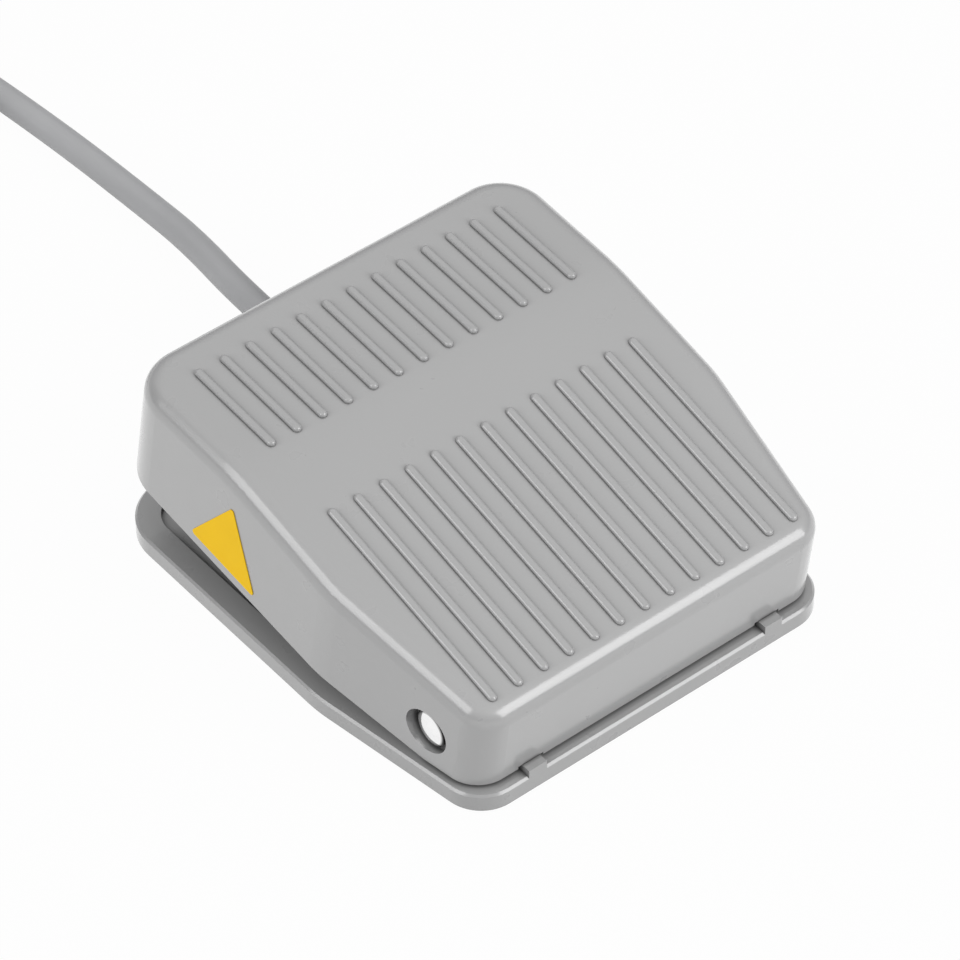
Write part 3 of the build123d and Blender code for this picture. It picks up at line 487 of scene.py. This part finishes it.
# The flag's edge and middle are cosines of the angle from its direction
flag_direction = Vector((-0.66, 0.68, 0.46)).normalized()
flag_edge = 0.86
flag_middle = 0.95
flag_darkest = 0.2
lamp_distance = 1.0
lamp_target = Vector((0.0, 0.0, 0.02))


def white_for_camera(tree, shader, share):
    """Mixes plain white into what the camera, gloss and clear parts see of a surface."""
    path = tree.nodes.new("ShaderNodeLightPath")
    seen = path.outputs["Is Camera Ray"]
    for kind in ("Is Glossy Ray", "Is Transmission Ray"):
        either = tree.nodes.new("ShaderNodeMath")
        either.operation = "MAXIMUM"
        tree.links.new(seen, either.inputs[0])
        tree.links.new(path.outputs[kind], either.inputs[1])
        seen = either.outputs["Value"]
    scaled = tree.nodes.new("ShaderNodeMath")
    scaled.operation = "MULTIPLY"
    scaled.inputs[1].default_value = share
    tree.links.new(seen, scaled.inputs[0])
    white = tree.nodes.new("ShaderNodeEmission")
    mix = tree.nodes.new("ShaderNodeMixShader")
    tree.links.new(scaled.outputs["Value"], mix.inputs["Fac"])
    tree.links.new(shader, mix.inputs[1])
    tree.links.new(white.outputs["Emission"], mix.inputs[2])
    return mix.outputs["Shader"]


def make_floor():
    """A pale floor that the camera sees nearly white."""
    mesh = bmesh.new()
    bmesh.ops.create_grid(mesh, x_segments=floor_cells, y_segments=floor_cells, size=floor_reach)
    data = bpy.data.meshes.new("floor")
    mesh.to_mesh(data)
    mesh.free()
    material = bpy.data.materials.new("pale_floor")
    material.use_nodes = True
    tree = material.node_tree
    shader = tree.nodes["Principled BSDF"]
    shader.inputs["Base Color"].default_value = (floor_tone, floor_tone, floor_tone, 1.0)
    shader.inputs["Roughness"].default_value = floor_roughness
    output = tree.nodes["Material Output"]
    tree.links.new(white_for_camera(tree, shader.outputs["BSDF"], floor_glow), output.inputs["Surface"])
    data.materials.append(material)
    floor = bpy.data.objects.new("floor", data)
    bpy.context.scene.collection.objects.link(floor)


def make_sky():
    """A dim studio: dark round the horizon, light overhead, with a dark flag at the rear left."""
    world = bpy.data.worlds.new("studio")
    bpy.context.scene.world = world
    world.use_nodes = True
    tree = world.node_tree
    background = tree.nodes["Background"]
    place = tree.nodes.new("ShaderNodeTexCoord")
    split = tree.nodes.new("ShaderNodeSeparateXYZ")
    tree.links.new(place.outputs["Generated"], split.inputs["Vector"])
    ramp = tree.nodes.new("ShaderNodeValToRGB")
    dark, light = ramp.color_ramp.elements
    dark.position = sky_dark_height
    dark.color = sky_dark
    light.position = sky_light_height
    light.color = sky_light
    tree.links.new(split.outputs["Z"], ramp.inputs["Fac"])
    tree.links.new(ramp.outputs["Color"], background.inputs["Color"])
    toward = tree.nodes.new("ShaderNodeVectorMath")
    toward.operation = "DOT_PRODUCT"
    toward.inputs[1].default_value = flag_direction
    tree.links.new(place.outputs["Generated"], toward.inputs[0])
    flag = tree.nodes.new("ShaderNodeMapRange")
    flag.inputs["From Min"].default_value = flag_edge
    flag.inputs["From Max"].default_value = flag_middle
    flag.inputs["To Min"].default_value = sky_strength
    flag.inputs["To Max"].default_value = sky_strength * flag_darkest
    tree.links.new(toward.outputs["Value"], flag.inputs["Value"])
    tree.links.new(flag.outputs["Result"], background.inputs["Strength"])
    path = tree.nodes.new("ShaderNodeLightPath")
    white = tree.nodes.new("ShaderNodeBackground")
    mix = tree.nodes.new("ShaderNodeMixShader")
    tree.links.new(path.outputs["Is Camera Ray"], mix.inputs["Fac"])
    tree.links.new(background.outputs["Background"], mix.inputs[1])
    tree.links.new(white.outputs["Background"], mix.inputs[2])
    tree.links.new(mix.outputs["Shader"], tree.nodes["World Output"].inputs["Surface"])


def soft_lamp(name, direction, width, height, power):
    """A rectangular soft box that faces the object from a direction."""
    data = bpy.data.lights.new(name, "AREA")
    data.shape = "RECTANGLE"
    data.size = width
    data.size_y = height
    data.energy = power
    lamp = bpy.data.objects.new(name, data)
    bpy.context.scene.collection.objects.link(lamp)
    outward = Vector(direction).normalized()
    lamp.location = lamp_target + outward * lamp_distance
    lamp.rotation_mode = "QUATERNION"
    lamp.rotation_quaternion = (-outward).to_track_quat("-Z", "Y")


make_floor()
make_sky()
soft_lamp("left_box", (-0.84, 0.17, 0.52), width=0.72, height=0.66, power=4.7)
soft_lamp("front_box", (0.38, -0.8, 0.47), width=0.65, height=0.7, power=6.2)

bpy.context.scene.view_settings.view_transform = "Standard"
